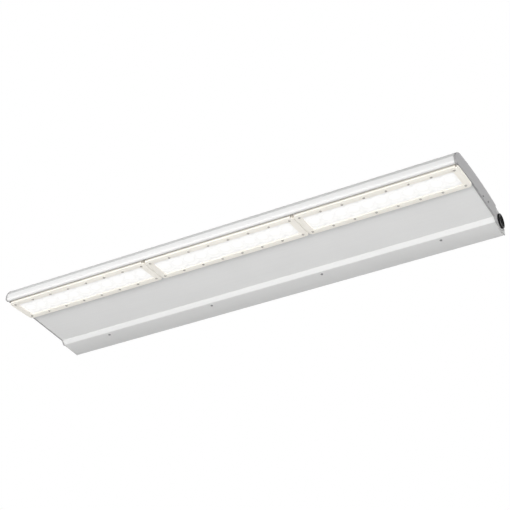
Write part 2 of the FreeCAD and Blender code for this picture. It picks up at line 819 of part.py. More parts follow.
def module_base(module):
    """Aluminium base with a pocket for the board and a groove for each row of frame screws."""
    body = new_body(f"module_base_{module}")
    seat_in_bed(body, module)
    block = sketch(body, "XY_Plane")
    rectangle(block, "base_length", "base_depth")
    polygons(block, [("lead_shift", "0")], "lead_hole", LEAD_SIDES)
    polygons(block, [(f"{sign}fixing_x", "0") for sign in "-+"], "screw_hole", HOLE_SIDES)
    pad(body, block, "base_thick", -1)
    recess = sketch(body, "XY_Plane", "-base_thick")
    rectangle(recess, "pocket_length", "pocket_depth")
    pocket(body, recess, "base_thick - base_floor", 1)
    grooves = sketch(body, "XY_Plane", "-base_thick")
    for row in ("-frame_screw_y", "frame_screw_y"):
        rectangle(grooves, "base_length", "2 * screw_hole", centre=("0", row))
    pocket(body, grooves, "base_thick - groove_roof", 1)
    sinks = sketch(body, "XY_Plane", "-base_thick")
    polygons(sinks, [(f"{sign}fixing_x", "0") for sign in "-+"], "fixing_head + screw_fit", HEAD_SIDES)
    pocket(body, sinks, "screw_head_height", 1)


def module_board(module):
    body = new_body(f"module_board_{module}")
    seat_in_bed(body, module)
    board = sketch(body, "XY_Plane", "-base_floor")
    rectangle(board, "pocket_length - 2 * board_margin", "pocket_depth - 2 * board_margin")
    pad(body, board, "board_thick", -1)


def module_leds(module):
    body = new_body(f"module_leds_{module}")
    seat_in_bed(body, module)
    lamps = sketch(body, "XY_Plane", "-base_floor - board_thick")
    for step in range(LEDS):
        rectangle(lamps, "led_size", "led_size", centre=(f"{step - LEDS // 2} * led_pitch", "0"))
    pad(body, lamps, "led_thick", -1)


def module_screws(module):
    body = new_body(f"module_screws_{module}")
    seat_in_bed(body, module)
    grip = "-frame_bottom - groove_roof - frame_screw_stop"
    first_column = frame_screws()[:2]
    head, shank, heads = screws(body, "XY_Plane", "frame_bottom", -1, first_column, "screw_head", grip)
    repeat(body, [head, shank], heads, "frame_screw_pitch", FRAME_SCREW_COLUMNS)


def module_fixing_screws():
    """Sunk screws that hold the bases to the lamp bed."""
    body = new_body("module_fixing_screws")
    seat_in_bed(body, MODULES[1])
    places = [(f"{module_x(module)} {sign} fixing_x", "0") for module in MODULES for sign in "-+"]
    level = "-base_thick + screw_head_height"
    grip = "base_thick - screw_head_height + bed_thick + thread_past"
    screws(body, "XY_Plane", level, -1, places, "fixing_head", grip)


# Drivers, terminals and leads in the box.

def eared_case(label, middle, length, depth, height):
    """A case against the box's web, with a flat ear at each end for its screws."""
    body = new_body(label)
    place(body, x=middle, y="box_front_y", z="driver_z")
    block = sketch(body, "XZ_Plane")
    rectangle(block, length, height, centre=("0", f"{height} / 2"))
    case = pad(body, block, depth, 1)
    break_edges(body, case, FreeCAD.Vector(0, 1, 0), "driver_chamfer")
    ears = sketch(body, "XZ_Plane")
    rectangle(ears, f"{length} + 2 * ear_length", f"{height} / 2", centre=("0", f"{height} / 2"))
    pad(body, ears, "ear_thick", 1)
    holes = sketch(body, "XZ_Plane", "ear_thick / 2")
    polygons(holes, ear_screws("0", "0", length, height), "screw_hole", HOLE_SIDES)
    pocket(body, holes, "2 * ear_thick")
    return body


def terminal_block():
    body = eared_case(
        "terminal_block", "terminal_x", "terminal_length", "terminal_depth", "terminal_height")
    sinks = sketch(body, "XY_Plane")
    polygons(sinks, terminal_poles("0", "terminal_depth / 2"), "terminal_pole", HEAD_SIDES)
    pocket(body, sinks, "terminal_pole_deep", 1)


def terminal_poles(middle_x, y):
    return [(f"{middle_x} + {step} * terminal_pole_pitch", y) for step in (-1, 0, 1)]


def terminal_screws():
    body = new_body("terminal_screws")
    place(body, x="terminal_x", y="box_front_y", z="driver_z")
    heads = sketch(body, "XY_Plane", "terminal_pole_deep")
    polygons(heads, terminal_poles("0", "terminal_depth / 2"), "terminal_pole - screw_fit", HEAD_SIDES)
    pad(body, heads, "terminal_screw_height", -1)


def driver_box_screws():
    body = new_body("driver_box_screws")
    grip = "ear_thick + rib + thread_past"
    screws(body, "XZ_Plane", "box_front_y + ear_thick", 1, box_screws(), "screw_head", grip)


def earth_screw():
    body = new_body("earth_screw")
    places = [("earth_x", "mains_z")]
    screws(body, "XZ_Plane", "box_front_y", 1, places, "screw_head", "rib + thread_past")


def module_lead(module):
    """Lead from a board up through the lamp bed, then back through the ribs to the driver."""
    body = new_body(f"module_lead_{module}")
    place(body, x=lead_x(module))
    start_z = "module_z - base_floor + lead_lift"
    section = sketch(body, "XY_Plane", start_z)
    polygons(section, [("0", "module_y")], "lead_radius", LEAD_SIDES)
    route = sketch(body, "YZ_Plane")
    corners = [("module_y", start_z), ("module_y", "lead_z - lead_bend"),
               ("module_y + lead_bend", "lead_z"), ("box_front_y", "lead_z")]
    points = [FreeCAD.Vector(value(route, y), value(route, z), 0) for y, z in corners]
    bend, bend_ends = bowed_side(points[1], points[2], value(route, "lead_bend"), CLOCKWISE)
    runs = [Part.LineSegment(*points[:2]), bend, Part.LineSegment(*points[2:])]
    route.addGeometry(runs, False)
    constrain(route, [
        ("DistanceX", (-1, 1, 0, 1), corners[0][0]),
        ("DistanceY", (-1, 1, 0, 1), corners[0][1]),
        ("Vertical", (0,), None),
        ("Tangent", (0, 2, 1, bend_ends[0]), None),
        ("Tangent", (1, bend_ends[1], 2, 1), None),
        ("Horizontal", (2,), None),
        ("Radius", (1,), "lead_bend"),
        ("DistanceX", (-1, 1, 2, 2), corners[3][0]),
        ("DistanceY", (-1, 1, 2, 2), corners[3][1]),
    ])
    doc.recompute()
    lead = body.newObject("PartDesign::AdditivePipe", "Pipe")
    lead.Profile = section
    lead.Spine = (route, ["Edge1", "Edge2", "Edge3"])
    doc.recompute()


def mains_lead(number, start, end):
    """Straight lead between two cases in the box."""
    body = new_body(f"mains_lead_{number}")
    section = sketch(body, "YZ_Plane", start)
    polygons(section, [("mains_y", "mains_z")], "mains_radius", LEAD_SIDES)
    pad(body, section, f"{end} - ({start})", 1)


# Assembly.

def build():
    fill_sheet("Sizes", {name: str(size) for name, size in SIZES.items()})
    fill_sheet("Worked", {name: "=" + bound(formula) for name, formula in WORKED.items()})
    body_extrusion()
    driver_cover()
    driver_cover_seal()
    driver_cover_screws()
    for name, side in SIDES.items():
        end_cap(name, side)
        box_end_plate(name, side)
        end_gasket(name, side)
    end_screws("end_cap_screws", CAP_SCREWS, "cap_thick")
    end_screws("box_end_plate_screws", PLATE_SCREWS, "plate_thick")
    cable_bush()
    driver_end = "driver_length / 2"
    for module in MODULES:
        module_frame(module)
        module_lens(module)
        module_seal(module)
        module_base(module)
        module_board(module)
        module_leds(module)
        module_screws(module)
        module_lead(module)
        eared_case(f"led_driver_{module}", module_x(module), "driver_length", "driver_depth", "driver_height")
        following = f"{module_x(module + 1)} - {driver_end}"
        if module == MODULES[-1]:
            following = "terminal_x - terminal_length / 2"
        mains_lead(module, f"{module_x(module)} + {driver_end}", following)
    module_fixing_screws()
    terminal_block()
    terminal_screws()
    driver_box_screws()
    earth_screw()


def write_parts():
    """Check every object, then write each piece to its own file."""
    doc.recompute()
    for item in doc.Objects:
        if "Invalid" in item.State or "Error" in item.State:
            raise RuntimeError(f"{item.Label} did not compute: {item.State}")
    pieces = [item for item in doc.Objects if item.TypeId == "PartDesign::Body"]
    for piece in pieces:
        if piece.Shape.isNull() or not piece.Shape.isValid():
            raise RuntimeError(f"{piece.Label} has no valid shape")
    os.makedirs("parts", exist_ok=True)
    for piece in pieces:
        piece.Shape.exportStep(f"parts/{piece.Label}.step")


build()
write_parts()
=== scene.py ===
import math

import bmesh
import bpy
from bmesh.types import BMEdge, BMFace, BMVert
from bpy.props import FloatProperty, FloatVectorProperty, IntProperty, PointerProperty
from bpy.types import NodeSocket, Operator, Panel, PropertyGroup
from mathutils import Matrix, Vector


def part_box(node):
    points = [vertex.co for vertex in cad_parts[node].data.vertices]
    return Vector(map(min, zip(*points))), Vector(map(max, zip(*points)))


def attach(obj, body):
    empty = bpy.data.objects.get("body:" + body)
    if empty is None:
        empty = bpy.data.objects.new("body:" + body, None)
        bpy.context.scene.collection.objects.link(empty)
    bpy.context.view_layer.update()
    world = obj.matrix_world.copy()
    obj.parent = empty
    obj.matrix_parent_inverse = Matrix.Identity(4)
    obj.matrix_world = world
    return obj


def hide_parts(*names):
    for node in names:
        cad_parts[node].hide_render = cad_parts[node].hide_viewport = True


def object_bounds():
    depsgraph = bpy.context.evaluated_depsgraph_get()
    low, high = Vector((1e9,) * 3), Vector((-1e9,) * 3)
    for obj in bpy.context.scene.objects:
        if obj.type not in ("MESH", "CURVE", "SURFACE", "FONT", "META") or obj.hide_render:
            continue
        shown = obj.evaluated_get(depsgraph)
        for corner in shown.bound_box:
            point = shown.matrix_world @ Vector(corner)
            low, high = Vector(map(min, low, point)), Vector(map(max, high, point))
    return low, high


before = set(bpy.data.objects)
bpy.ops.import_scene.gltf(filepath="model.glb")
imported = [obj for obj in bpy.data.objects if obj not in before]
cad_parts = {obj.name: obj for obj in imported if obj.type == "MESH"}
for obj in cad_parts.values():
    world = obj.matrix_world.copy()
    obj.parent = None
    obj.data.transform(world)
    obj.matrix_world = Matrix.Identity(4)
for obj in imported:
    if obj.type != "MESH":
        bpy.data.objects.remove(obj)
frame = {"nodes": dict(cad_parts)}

bl_info = {
    "name": "Outdoor linear light",
    "version": (1, 0, 0),
    "blender": (4, 5, 0),
    "location": "View3D > Sidebar > Linear Light",
    "description": "Dresses the wall-mounted linear light with its finished pieces, coats and studio",
    "category": "Object",
}

CAD_BOX = [list(corner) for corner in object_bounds()]

# Names of what repeats.
MODULES = (1, 2, 3)
MIDDLE_MODULE = 2
SIDES = ("left", "right")
SOFTBOXES = ("key", "fill", "left", "under", "back")

# Limits that tell points, faces and edges apart, in metres and radians.
MERGE_DISTANCE = 1e-6
NEAR = 1e-5
LONG_EDGE = 1.0
FLAT_ANGLE = math.radians(1)
CREASE_ANGLE = math.radians(30)

# Direction along the light, and directions in a spin profile in degrees.
ALONG_X = Vector((1, 0, 0))
OUTWARD, UPWARD, INWARD, DOWNWARD = 0, 90, 180, -90

# Steps round a whole turn, and round the corner of a plate.
SCREW_STEPS = 20
LENS_STEPS = 28
BUSH_STEPS = 56
CORNER_STEPS = 10

# Values that a noise pattern mostly keeps between.
NOISE_LOW, NOISE_HIGH = 0.3, 0.7

# Glow across a lens: distance from its middle in lens diameters, and part of the full glow there.
LENS_GLOW = ((0.0, 1.0), (0.35, 1.0), (0.46, 0.95), (0.53, 0.89), (0.62, 0.94), (0.85, 0.95), (1.0, 0.80))

# Painted shade on a frame's long sides, in place of the shadow down the slots: part of the way from face to
# foot, and tint of the plastic there.
FRAME_PAINTED_SHADE = ((0.05, (1, 1, 1)), (0.35, (0.80, 0.79, 0.78)), (0.9, (0.58, 0.57, 0.56)))

# Width of the camera's sensor in millimetres.
SENSOR_WIDTH = 36


# Settings that a user would change.

def length(name, description, default):
    """Setting for a length in metres."""
    return FloatProperty(
        name=name, description=description, default=default, min=0, unit="LENGTH", precision=5)


def angle(name, description, degrees):
    """Setting for an angle."""
    return FloatProperty(name=name, description=description, default=math.radians(degrees), subtype="ANGLE")


def share(name, description, default):
    """Setting for a part of a whole."""
    return FloatProperty(name=name, description=description, default=default, min=0, subtype="FACTOR")


def colour(name, description, default):
    """Setting for a colour."""
    return FloatVectorProperty(
        name=name, description=description, default=default, size=3, min=0, max=1, subtype="COLOR")


def spot(name, description, default):
    """Setting for a place in the studio."""
    return FloatVectorProperty(
        name=name, description=description, default=default, size=3, subtype="TRANSLATION", unit="LENGTH")


def power(name, description, default):
    """Setting for a lamp's power in watts."""
    return FloatProperty(name=name, description=description, default=default, min=0, unit="POWER")


class LightSizes(PropertyGroup):
    """Sizes of the finished pieces."""
    bed_tilt: angle("Bed tilt", "Lean of the lamp bed towards the wall", 4.6)
    base_thick: length("Base thickness", "Aluminium base under each lamp module", 0.005)
    seal_thick: length("Seal thickness", "Seal ring between base and frame", 0.001)
    frame_length: length("Frame length", "Lamp frame along the light", 0.3992)
    frame_depth: length("Frame depth", "Lamp frame across the light", 0.0915)
    frame_thick: length("Frame thickness", "Lamp frame from seal to face", 0.004)
    frame_corner: length("Frame corner", "Radius of the lamp frame's corners", 0.010)
    frame_edge: length("Frame edge", "Rounding of the lamp frame's rim", 0.0007)
    skirt_step: length("Skirt step", "Lowered part of the skirt at the light's ends", 0.0039)
    skirt_drop: length("Skirt drop", "Lowered skirt below the lamp bed, under the end cap", 0.0043)
    window_end: length("Window end margin", "Frame width at the ends of the window", 0.0166)
    window_side: length("Window side margin", "Frame width along the window", 0.01705)
    window_corner: length("Window corner", "Radius of the window's corners", 0.006)
    window_edge: length("Window edge", "Rounding of the window's rim", 0.0004)
    flange_overlap: length("Flange overlap", "Lens plate past the window", 0.002)
    flange_thick: length("Flange thickness", "Lens plate between seal and frame", 0.0015)
    lens_count: IntProperty(name="Lenses", description="Lenses in one window", default=11, min=1)
    lens_pitch: length("Lens pitch", "From lens to lens", 0.0331)
    lens_radius: length("Lens radius", "One lens, at its foot", 0.0130)
    lens_proud: length("Lens height", "Lens above its plate", 0.0023)
    screw_head: length("Screw head radius", "Pan heads of the frames and the cover", 0.0031)
    cap_screw_head: length("Cap screw head radius", "Pan heads in the end caps and end plates", 0.0023)
    screw_shank: length("Screw shank radius", "Shanks of the small screws", 0.00145)
    screw_head_height: length("Screw head height", "Pan heads above their seats", 0.0018)
    head_rounding: share("Head rounding", "Rounded rim of a pan head, by the head's height", 0.6)
    recess_mouth: share("Recess mouth", "Flat round the cross recess, by the head's radius", 0.62)
    recess_reach: share("Recess reach", "Arms of the cross recess, by the head's radius", 0.45)
    recess_deep: share("Recess depth", "Cross recess, by the head's height", 0.55)
    recess_taper: share("Recess taper", "Floor of the cross recess, by its mouth", 0.7)
    fold_radius: length("Fold radius", "Rounding of the housing's and the cover's long edges", 0.0005)
    front_height: length("Front height", "Flat front above the nose's foremost line", 0.0109)
    front_setback: length("Front setback", "Most that the flat front brings the nose's skin forward", 0.0020)
    bush_rim: length("Bush rim radius", "Bush outside the end plate", 0.0180)
    bush_floor: length("Bush floor", "Membrane in the bush, outside the end plate", 0.0004)
    bush_ring: length("Bush ring radius", "Step in the bush's mouth", 0.0140)
    bush_ring_deep: length("Bush ring depth", "Step in the bush's mouth", 0.0020)
    bush_mouth: length("Bush mouth radius", "Recess in the bush", 0.0095)
    bush_neck: length("Bush neck radius", "Bush inside the end plate", 0.0150)
    bush_lip: length("Bush lip", "Lip behind the end plate", 0.0016)
    bush_proud: length("Bush height", "Bush outside the end plate", 0.0050)
    bush_edge: length("Bush edge", "Rounding of the bush's rim", 0.0012)


class LightColours(PropertyGroup):
    """Colours of the coats, plastics, metals and lamps."""
    housing: colour("Housing", "Satin silver coat", (0.71, 0.71, 0.705))
    cover: colour("Cover", "Satin silver coat of the driver cover", (0.67, 0.67, 0.665))
    end_cap: colour("End cap", "Darker matt coat", (0.335, 0.33, 0.335))
    end_plate: colour("End plate", "Satin grey coat", (0.42, 0.42, 0.42))
    frame: colour("Frame", "Cream moulded plastic", (0.93, 0.895, 0.825))
    lens: colour("Lens", "Clear lens plate", (0.88, 0.89, 0.90))
    glow: colour("Glow", "Light of the lamps", (1.0, 0.985, 0.96))
    lens_glow: share("Lens glow", "Strength of the light in the lenses", 0.58)
    phosphor: colour("Phosphor", "Lamp chips", (0.85, 0.70, 0.25))
    pale_phosphor: colour("Pale phosphor", "Palest grains of the lamp chips", (0.95, 0.82, 0.36))
    rubber: colour("Rubber", "Cover seal and bush", (0.007, 0.007, 0.008))
    silicone: colour("Silicone", "Pale sheets and rings that seal the modules and ends", (0.72, 0.72, 0.70))
    steel: colour("Screw steel", "Inner screws", (0.46, 0.46, 0.47))
    cover_screw: colour("Cover screw", "Dull screws in the driver cover", (0.21, 0.21, 0.215))
    frame_screw: colour("Frame screw", "Screws of the lamp frames", (0.40, 0.385, 0.355))
    cap_screw: colour("Cap screw", "Blackened screws", (0.20, 0.20, 0.205))
    base: colour("Base", "Bare aluminium", (0.72, 0.72, 0.73))
    board: colour("Board", "White circuit board", (0.85, 0.85, 0.84))
    terminal: colour("Terminal", "Terminal block plastic", (0.80, 0.80, 0.77))
    brass: colour("Brass", "Terminal screws", (0.72, 0.55, 0.25))
    sheath: colour("Lead sheath", "Inner leads", (0.05, 0.05, 0.052))


class LightStage(PropertyGroup):
    """Studio round the light."""
    camera_place: spot(
        "Camera place", "Camera below, in front and to the right", (1.33308, -2.43480, -1.82469))
    camera_turn: FloatVectorProperty(
        name="Camera turn", description="Camera's own turn", subtype="EULER",
        default=[math.radians(turn) for turn in (124.8704, -1.2533, 28.9378)])
    camera_lens: FloatProperty(name="Lens", description="Focal length in millimetres", default=94.13)
    camera_shift: FloatProperty(name="Shift", description="Sideways shift in frame widths", default=0.0005)
    sky: share("Sky", "Soft light from all round", 0.08)
    key_power: power("Key power", "Softbox in front", 82.0)
    key_place: spot("Key place", "Softbox in front", (-0.5, -2.85, -0.65))
    key_side: length("Key side", "Softbox in front", 1.7)
    fill_power: power("Fill power", "Softbox on the right", 50.0)
    fill_place: spot("Fill place", "Softbox on the right", (2.9, -0.8, -0.5))
    fill_side: length("Fill side", "Softbox on the right", 1.6)
    left_power: power("Left power", "Softbox on the left", 50.0)
    left_place: spot("Left place", "Softbox on the left", (-3.1, 0.6, 0.4))
    left_side: length("Left side", "Softbox on the left", 1.6)
    under_power: power("Under power", "Softbox near the floor", 34.0)
    under_place: spot("Under place", "Softbox near the floor", (0, -0.3, -3.2))
    under_side: length("Under side", "Softbox near the floor", 2.6)
    back_power: power("Back power", "Softbox above the wall side", 120.0)
    back_place: spot("Back place", "Softbox above the wall side", (0.4, 2.5, 1.9))
    back_side: length("Back side", "Softbox above the wall side", 2.4)
    floor_drop: length("Floor drop", "Floor below the light's zero height", 3.6)
    floor_lift: share("Floor lift", "Paleness added to the floor where it is seen", 0.8)
    floor_size: length("Floor size", "Half of the floor's side", 8.0)
    floor_tone: colour("Floor tone", "Pale paint", (0.80, 0.80, 0.80))


def sizes():
    """Settings for the sizes."""
    return bpy.context.scene.light_sizes


def colours():
    """Settings for the colours."""
    return bpy.context.scene.light_colours


# Node helpers.

def new_finish(name):
    """A material with its node tree and its shader."""
    material = bpy.data.materials.new(name)
    material.use_nodes = True
    tree = material.node_tree
    return material, tree, tree.nodes["Principled BSDF"]


def link(tree, output, socket):
    """Lead an output into a socket."""
    tree.links.new(output, socket)


def calculated(tree, operation, *values):
    """Result of a sum, from outputs and plain numbers."""
    node = tree.nodes.new("ShaderNodeMath")
    node.operation = operation
    for socket, value in zip(node.inputs, values):
        if isinstance(value, NodeSocket):
            link(tree, value, socket)
        else:
            socket.default_value = value
    return node.outputs["Value"]


def mapped(tree, value, source, target=(0, 1)):
    """A value moved from one span of numbers to another."""
    node = tree.nodes.new("ShaderNodeMapRange")
    for name, number in zip(("From Min", "From Max", "To Min", "To Max"), (*source, *target)):
        node.inputs[name].default_value = number
    link(tree, value, node.inputs["Value"])
    return node.outputs["Result"]


def axes(tree, vector):
    """The X, Y and Z of a vector."""
    node = tree.nodes.new("ShaderNodeSeparateXYZ")
    link(tree, vector, node.inputs["Vector"])
    return node.outputs


def object_place(tree, stretch=(1, 1, 1), centre=(0, 0, 0), turn=0):
    """Object coordinates about a centre, turned about the light's length, then stretched."""
    place = tree.nodes.new("ShaderNodeTexCoord")
    centred = tree.nodes.new("ShaderNodeMapping")
    centred.vector_type = "TEXTURE"
    centred.inputs["Location"].default_value = centre
    centred.inputs["Rotation"].default_value = (turn, 0, 0)
    link(tree, place.outputs["Object"], centred.inputs["Vector"])
    stretched = tree.nodes.new("ShaderNodeMapping")
    stretched.inputs["Scale"].default_value = stretch
    link(tree, centred.outputs["Vector"], stretched.inputs["Vector"])
    return stretched.outputs["Vector"]


def noise(tree, scale, stretch=(1, 1, 1), detail=2):
    """Noise pattern on the piece."""
    texture = tree.nodes.new("ShaderNodeTexNoise")
    texture.inputs["Scale"].default_value = scale
    texture.inputs["Detail"].default_value = detail
    link(tree, object_place(tree, stretch), texture.inputs["Vector"])
    return texture.outputs["Fac"]


def ramp(tree, value, stops):
    """Colours along a value, as (place, colour) stops."""
    node = tree.nodes.new("ShaderNodeValToRGB")
    band = node.color_ramp
    for index, (place, tone) in enumerate(stops):
        stop = band.elements[index] if index < 2 else band.elements.new(place)
        stop.position = place
        stop.color = (*tone, 1)
    link(tree, value, node.inputs["Fac"])
    return node.outputs["Color"]


def shade(tone, factor):
    """A tone made darker or paler."""
    return tuple(min(1, channel * factor) for channel in tone)


def mottled(tree, pattern, tone, darkest, palest, low=NOISE_LOW):
    """A tone that a noise pattern darkens and pales."""
    return ramp(tree, pattern, [(low, shade(tone, darkest)), (NOISE_HIGH, shade(tone, palest))])


def spread(tree, pattern, middle, swing):
    """A number that a noise pattern swings about its middle."""
    return mapped(tree, pattern, (NOISE_LOW, NOISE_HIGH), (middle - swing, middle + swing))


def raise_grain(tree, shader, height, strength, distance):
    """Bump from a height value."""
    bump = tree.nodes.new("ShaderNodeBump")
    bump.inputs["Strength"].default_value = strength
    bump.inputs["Distance"].default_value = distance
    link(tree, height, bump.inputs["Height"])
    link(tree, bump.outputs["Normal"], shader.inputs["Normal"])


def where_seen(tree, lighting, seen):
    """One number for rays that light the pieces, another for rays that see or mirror the studio."""
    path = tree.nodes.new("ShaderNodeLightPath")
    ray = path.outputs["Is Camera Ray"]
    for other in ("Is Glossy Ray", "Is Transmission Ray"):
        ray = calculated(tree, "MAXIMUM", ray, path.outputs[other])
    return mapped(tree, ray, (0, 1), (lighting, seen))


# Finishes.

def satin_coat(name, tone, metallic, roughness, grain):
    """Sprayed coat on aluminium: soft cloudiness, faint lines along the light and a fine grain."""
    material, tree, shader = new_finish(name)
    shader.inputs["Specular IOR Level"].default_value = 0.02
    shader.inputs["Metallic"].default_value = metallic
    drawn = noise(tree, scale=400, stretch=(0.02, 1, 1), detail=3)
    cloud = noise(tree, scale=7, detail=1)
    both = tree.nodes.new("ShaderNodeMix")
    both.inputs["Factor"].default_value = 0.5
    link(tree, drawn, both.inputs["A"])
    link(tree, cloud, both.inputs["B"])
    tones = mottled(tree, both.outputs["Result"], tone, darkest=0.98, palest=1.02)
    link(tree, tones, shader.inputs["Base Color"])
    link(tree, spread(tree, cloud, roughness, swing=0.04), shader.inputs["Roughness"])
    raise_grain(tree, shader, noise(tree, scale=900), strength=grain, distance=0.0003)
    return material


def moulded_plastic(name, tone, roughness, grain):
    """Matt moulding with a slight flow pattern and a fine spark-eroded grain."""
    material, tree, shader = new_finish(name)
    flow = noise(tree, scale=18, stretch=(0.35, 1, 1), detail=3)
    link(tree, mottled(tree, flow, tone, darkest=0.97, palest=1.025), shader.inputs["Base Color"])
    link(tree, spread(tree, flow, roughness, swing=0.05), shader.inputs["Roughness"])
    raise_grain(tree, shader, noise(tree, scale=1400), strength=grain, distance=0.0002)
    return material


def frame_moulding(name, tone, centre, turn, face, foot):
    """Moulded plastic, greyed by painted shade from its face down into the slots along it, where shadow
    falls.
    """
    material = moulded_plastic(name, tone, roughness=0.5, grain=0.08)
    tree = material.node_tree
    tones = tree.nodes["Principled BSDF"].inputs["Base Color"]
    unshaded = tones.links[0].from_socket
    height = axes(tree, object_place(tree, centre=centre, turn=turn))["Z"]
    # Painted shade: the plastic darkens from the face towards the foot, standing in for the shadow in the
    # slots, on faces that look along the module's depth.
    painted_shade = ramp(tree, mapped(tree, height, (face, foot)), FRAME_PAINTED_SHADE)
    facing = axes(tree, tree.nodes.new("ShaderNodeTexCoord").outputs["Normal"])
    shaded = tree.nodes.new("ShaderNodeMix")
    shaded.data_type = "RGBA"
    shaded.blend_type = "MULTIPLY"
    link(tree, calculated(tree, "ABSOLUTE", facing["Y"]), shaded.inputs["Factor"])
    link(tree, unshaded, shaded.inputs["A"])
    link(tree, painted_shade, shaded.inputs["B"])
    link(tree, shaded.outputs["Result"], tones)
    return material


def lit_lens(name, centre, turn, pitch, radius):
    """Clear lens plate lit from behind: brightest over each lamp, dimmer round each lens's foot."""
    c = colours()
    material, tree, shader = new_finish(name)
    place = axes(tree, object_place(tree, centre=centre, turn=turn))
    flat = tree.nodes.new("ShaderNodeCombineXYZ")
    link(tree, calculated(tree, "WRAP", place["X"], pitch / 2, -pitch / 2), flat.inputs["X"])
    link(tree, place["Y"], flat.inputs["Y"])
    away = tree.nodes.new("ShaderNodeVectorMath")
    away.operation = "LENGTH"
    link(tree, flat.outputs["Vector"], away.inputs[0])
    across = mapped(tree, away.outputs["Value"], (0, 2 * radius))
    glows = ramp(tree, across, [(step, shade(c.glow, part)) for step, part in LENS_GLOW])
    link(tree, glows, shader.inputs["Emission Color"])
    shader.inputs["Emission Strength"].default_value = c.lens_glow
    ripple = noise(tree, scale=160)
    link(tree, mottled(tree, ripple, c.lens, darkest=0.5, palest=0.55), shader.inputs["Base Color"])
    link(tree, spread(tree, ripple, 0.16, swing=0.04), shader.inputs["Roughness"])
    return material


def rubber(name, tone):
    """Matt black rubber with a powdery bloom and a fine grain."""
    material, tree, shader = new_finish(name)
    shader.inputs["Specular IOR Level"].default_value = 0.12
    bloom = noise(tree, scale=90, detail=4)
    link(tree, mottled(tree, bloom, tone, darkest=0.8, palest=1.6, low=0.35), shader.inputs["Base Color"])
    link(tree, spread(tree, bloom, 0.65, swing=0.1), shader.inputs["Roughness"])
    raise_grain(tree, shader, noise(tree, scale=1600), strength=0.25, distance=0.0002)
    return material


def turned_metal(name, tone, roughness, metallic=0.85):
    """Small metal parts with fine machining marks and a patchy sheen."""
    material, tree, shader = new_finish(name)
    shader.inputs["Metallic"].default_value = metallic
    patch = noise(tree, scale=220, detail=3)
    link(tree, mottled(tree, patch, tone, darkest=0.88, palest=1.08), shader.inputs["Base Color"])
    link(tree, spread(tree, patch, roughness, swing=0.07), shader.inputs["Roughness"])
    marks = noise(tree, scale=2200, stretch=(1, 0.2, 1))
    raise_grain(tree, shader, marks, strength=0.15, distance=0.0001)
    return material


def circuit_board(name, tone, land_tone):
    """White solder mask with pale metal lands showing through it."""
    material, tree, shader = new_finish(name)
    lands = tree.nodes.new("ShaderNodeTexVoronoi")
    lands.distance = "CHEBYCHEV"
    lands.inputs["Scale"].default_value = 90
    link(tree, object_place(tree), lands.inputs["Vector"])
    mask_end, land_start = 0.35, 0.45
    tones = ramp(tree, lands.outputs["Distance"], [(mask_end, tone), (land_start, shade(land_tone, 0.8))])
    link(tree, tones, shader.inputs["Base Color"])
    link(tree, spread(tree, noise(tree, scale=300), 0.425, swing=0.075), shader.inputs["Roughness"])
    return material


def lamp_chips(name):
    """Lit phosphor of the lamp chips."""
    c = colours()
    material, tree, shader = new_finish(name)
    grain = noise(tree, scale=1500)
    grains = ramp(tree, grain, [(NOISE_LOW, c.phosphor), (NOISE_HIGH, c.pale_phosphor)])
    link(tree, grains, shader.inputs["Base Color"])
    link(tree, mottled(tree, grain, c.glow, darkest=0.9, palest=1), shader.inputs["Emission Color"])
    shader.inputs["Emission Strength"].default_value = 1.0
    shader.inputs["Roughness"].default_value = 0.4
    return material


# Mesh helpers.

def node_mesh(node):
    """A merged copy of a node's mesh."""
    bm = bmesh.new()
    bm.from_mesh(frame["nodes"][node].data)
    bmesh.ops.remove_doubles(bm, verts=bm.verts[:], dist=MERGE_DISTANCE)
    bmesh.ops.dissolve_limit(bm, angle_limit=FLAT_ANGLE, verts=bm.verts[:], edges=bm.edges[:])
    return bm


def crease(bm):
    """Smooth faces that break at the sharp edges."""
    for face in bm.faces:
        face.smooth = True
    for edge in bm.edges:
        edge.smooth = edge.calc_face_angle(math.pi) < CREASE_ANGLE


def finished(bm, name, material, nodes):
    """The finished piece of a mesh, riding on the light and standing for its nodes."""
    mesh = bpy.data.meshes.new(name)
    crease(bm)
    bm.to_mesh(mesh)
    bm.free()
    mesh.materials.append(material)
    piece = bpy.data.objects.new(name, mesh)
    bpy.context.scene.collection.objects.link(piece)
    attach(piece, "root")
    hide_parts(*nodes)


def coat_node(node, material):
    """Give a node that stays its finish."""
    materials = frame["nodes"][node].data.materials
    for index in range(len(materials)):
        materials[index] = material


def only(kind, geometry):
    """The parts of some geometry that are of one kind."""
    return [part for part in geometry if isinstance(part, kind)]


def middle_of(edge):
    """Middle of an edge."""
    return (edge.verts[0].co + edge.verts[1].co) / 2


def open_edges(bm, verts):
    """Edges between some vertices that have a face on one side only."""
    known = set(verts)
    return [edge for edge in bm.edges if edge.is_boundary and known.issuperset(edge.verts)]


def soften(bm, parts, radius, segments, affect="EDGES", clamp=False):
    """Round some edges, or some corners of an outline."""
    bmesh.ops.bevel(
        bm, geom=parts, offset=radius, offset_type="OFFSET", affect=affect, segments=segments, profile=0.5,
        material=-1, clamp_overlap=clamp)


def round_long_edges(bm, radius):
    """Round the convex edges that run along the whole light."""
    long_edges = [
        edge for edge in bm.edges
        if edge.calc_length() > LONG_EDGE
        and edge.is_convex
        and edge.calc_face_angle(0) > CREASE_ANGLE
        and abs((edge.verts[1].co - edge.verts[0].co).normalized().dot(ALONG_X)) > 1 - MERGE_DISTANCE
    ]
    soften(bm, long_edges, radius, segments=3, clamp=True)


def flatten_front(bm):
    """Bring the nose's outer skin forward to a flat front, up to a clear upper edge."""
    s = sizes()
    foremost = min(bm.verts, key=lambda vert: vert.co.y).co.copy()
    for vert in bm.verts:
        if 0 < vert.co.z - foremost.z < s.front_height and vert.co.y - foremost.y < s.front_setback:
            vert.co.y = foremost.y


